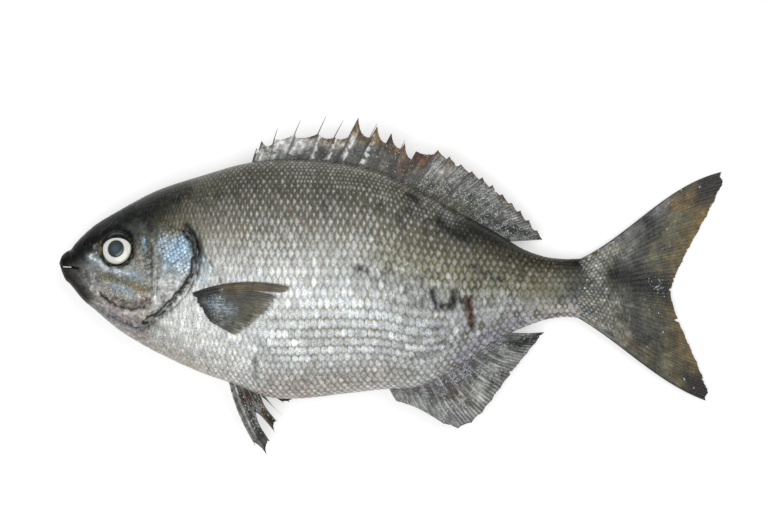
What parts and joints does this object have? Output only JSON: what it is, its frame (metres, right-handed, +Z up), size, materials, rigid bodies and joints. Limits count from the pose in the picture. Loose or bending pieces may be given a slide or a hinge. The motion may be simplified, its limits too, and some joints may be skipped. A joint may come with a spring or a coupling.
{
  "type": "whole raw fish",
  "caption": "Whole raw sea chub lying on its right side, uncut, with spiny back fin, vent fin, forked tail fin, side and throat fins, eyes and gill covers.",
  "frame": {"origin": "middle of the footprint of the whole fish, on the surface that it lies on", "axes": "+X from snout to tail, +Y towards the back and its fin, +Z up from the surface through the left flank, which shows"},
  "size_m": [0.4048, 0.2084, 0.0591],
  "materials": {
    "scaled_skin": "wet silver-grey scales over a darker olive back, satin with small bright glints",
    "gill_cover_skin": "smooth silvery blue skin over bone, wet sheen",
    "eyeball": "clear wet cornea over a pale iris and a dark round pupil",
    "fin_web": "thin dark grey-brown web between stiff rays, wet"
  },
  "bodies": {
    "root": {"body": "scaled_skin", "gill_cover_left": "gill_cover_skin", "gill_cover_right": "gill_cover_skin", "eye_left": "eyeball", "eye_right": "eyeball", "dorsal_fin": "fin_web", "anal_fin": "fin_web", "tail_fin": "fin_web", "pectoral_fin_left": "fin_web", "pectoral_fin_right": "fin_web", "pelvic_fin_left": "fin_web", "pelvic_fin_right": "fin_web"}
  },
  "joints": []
}
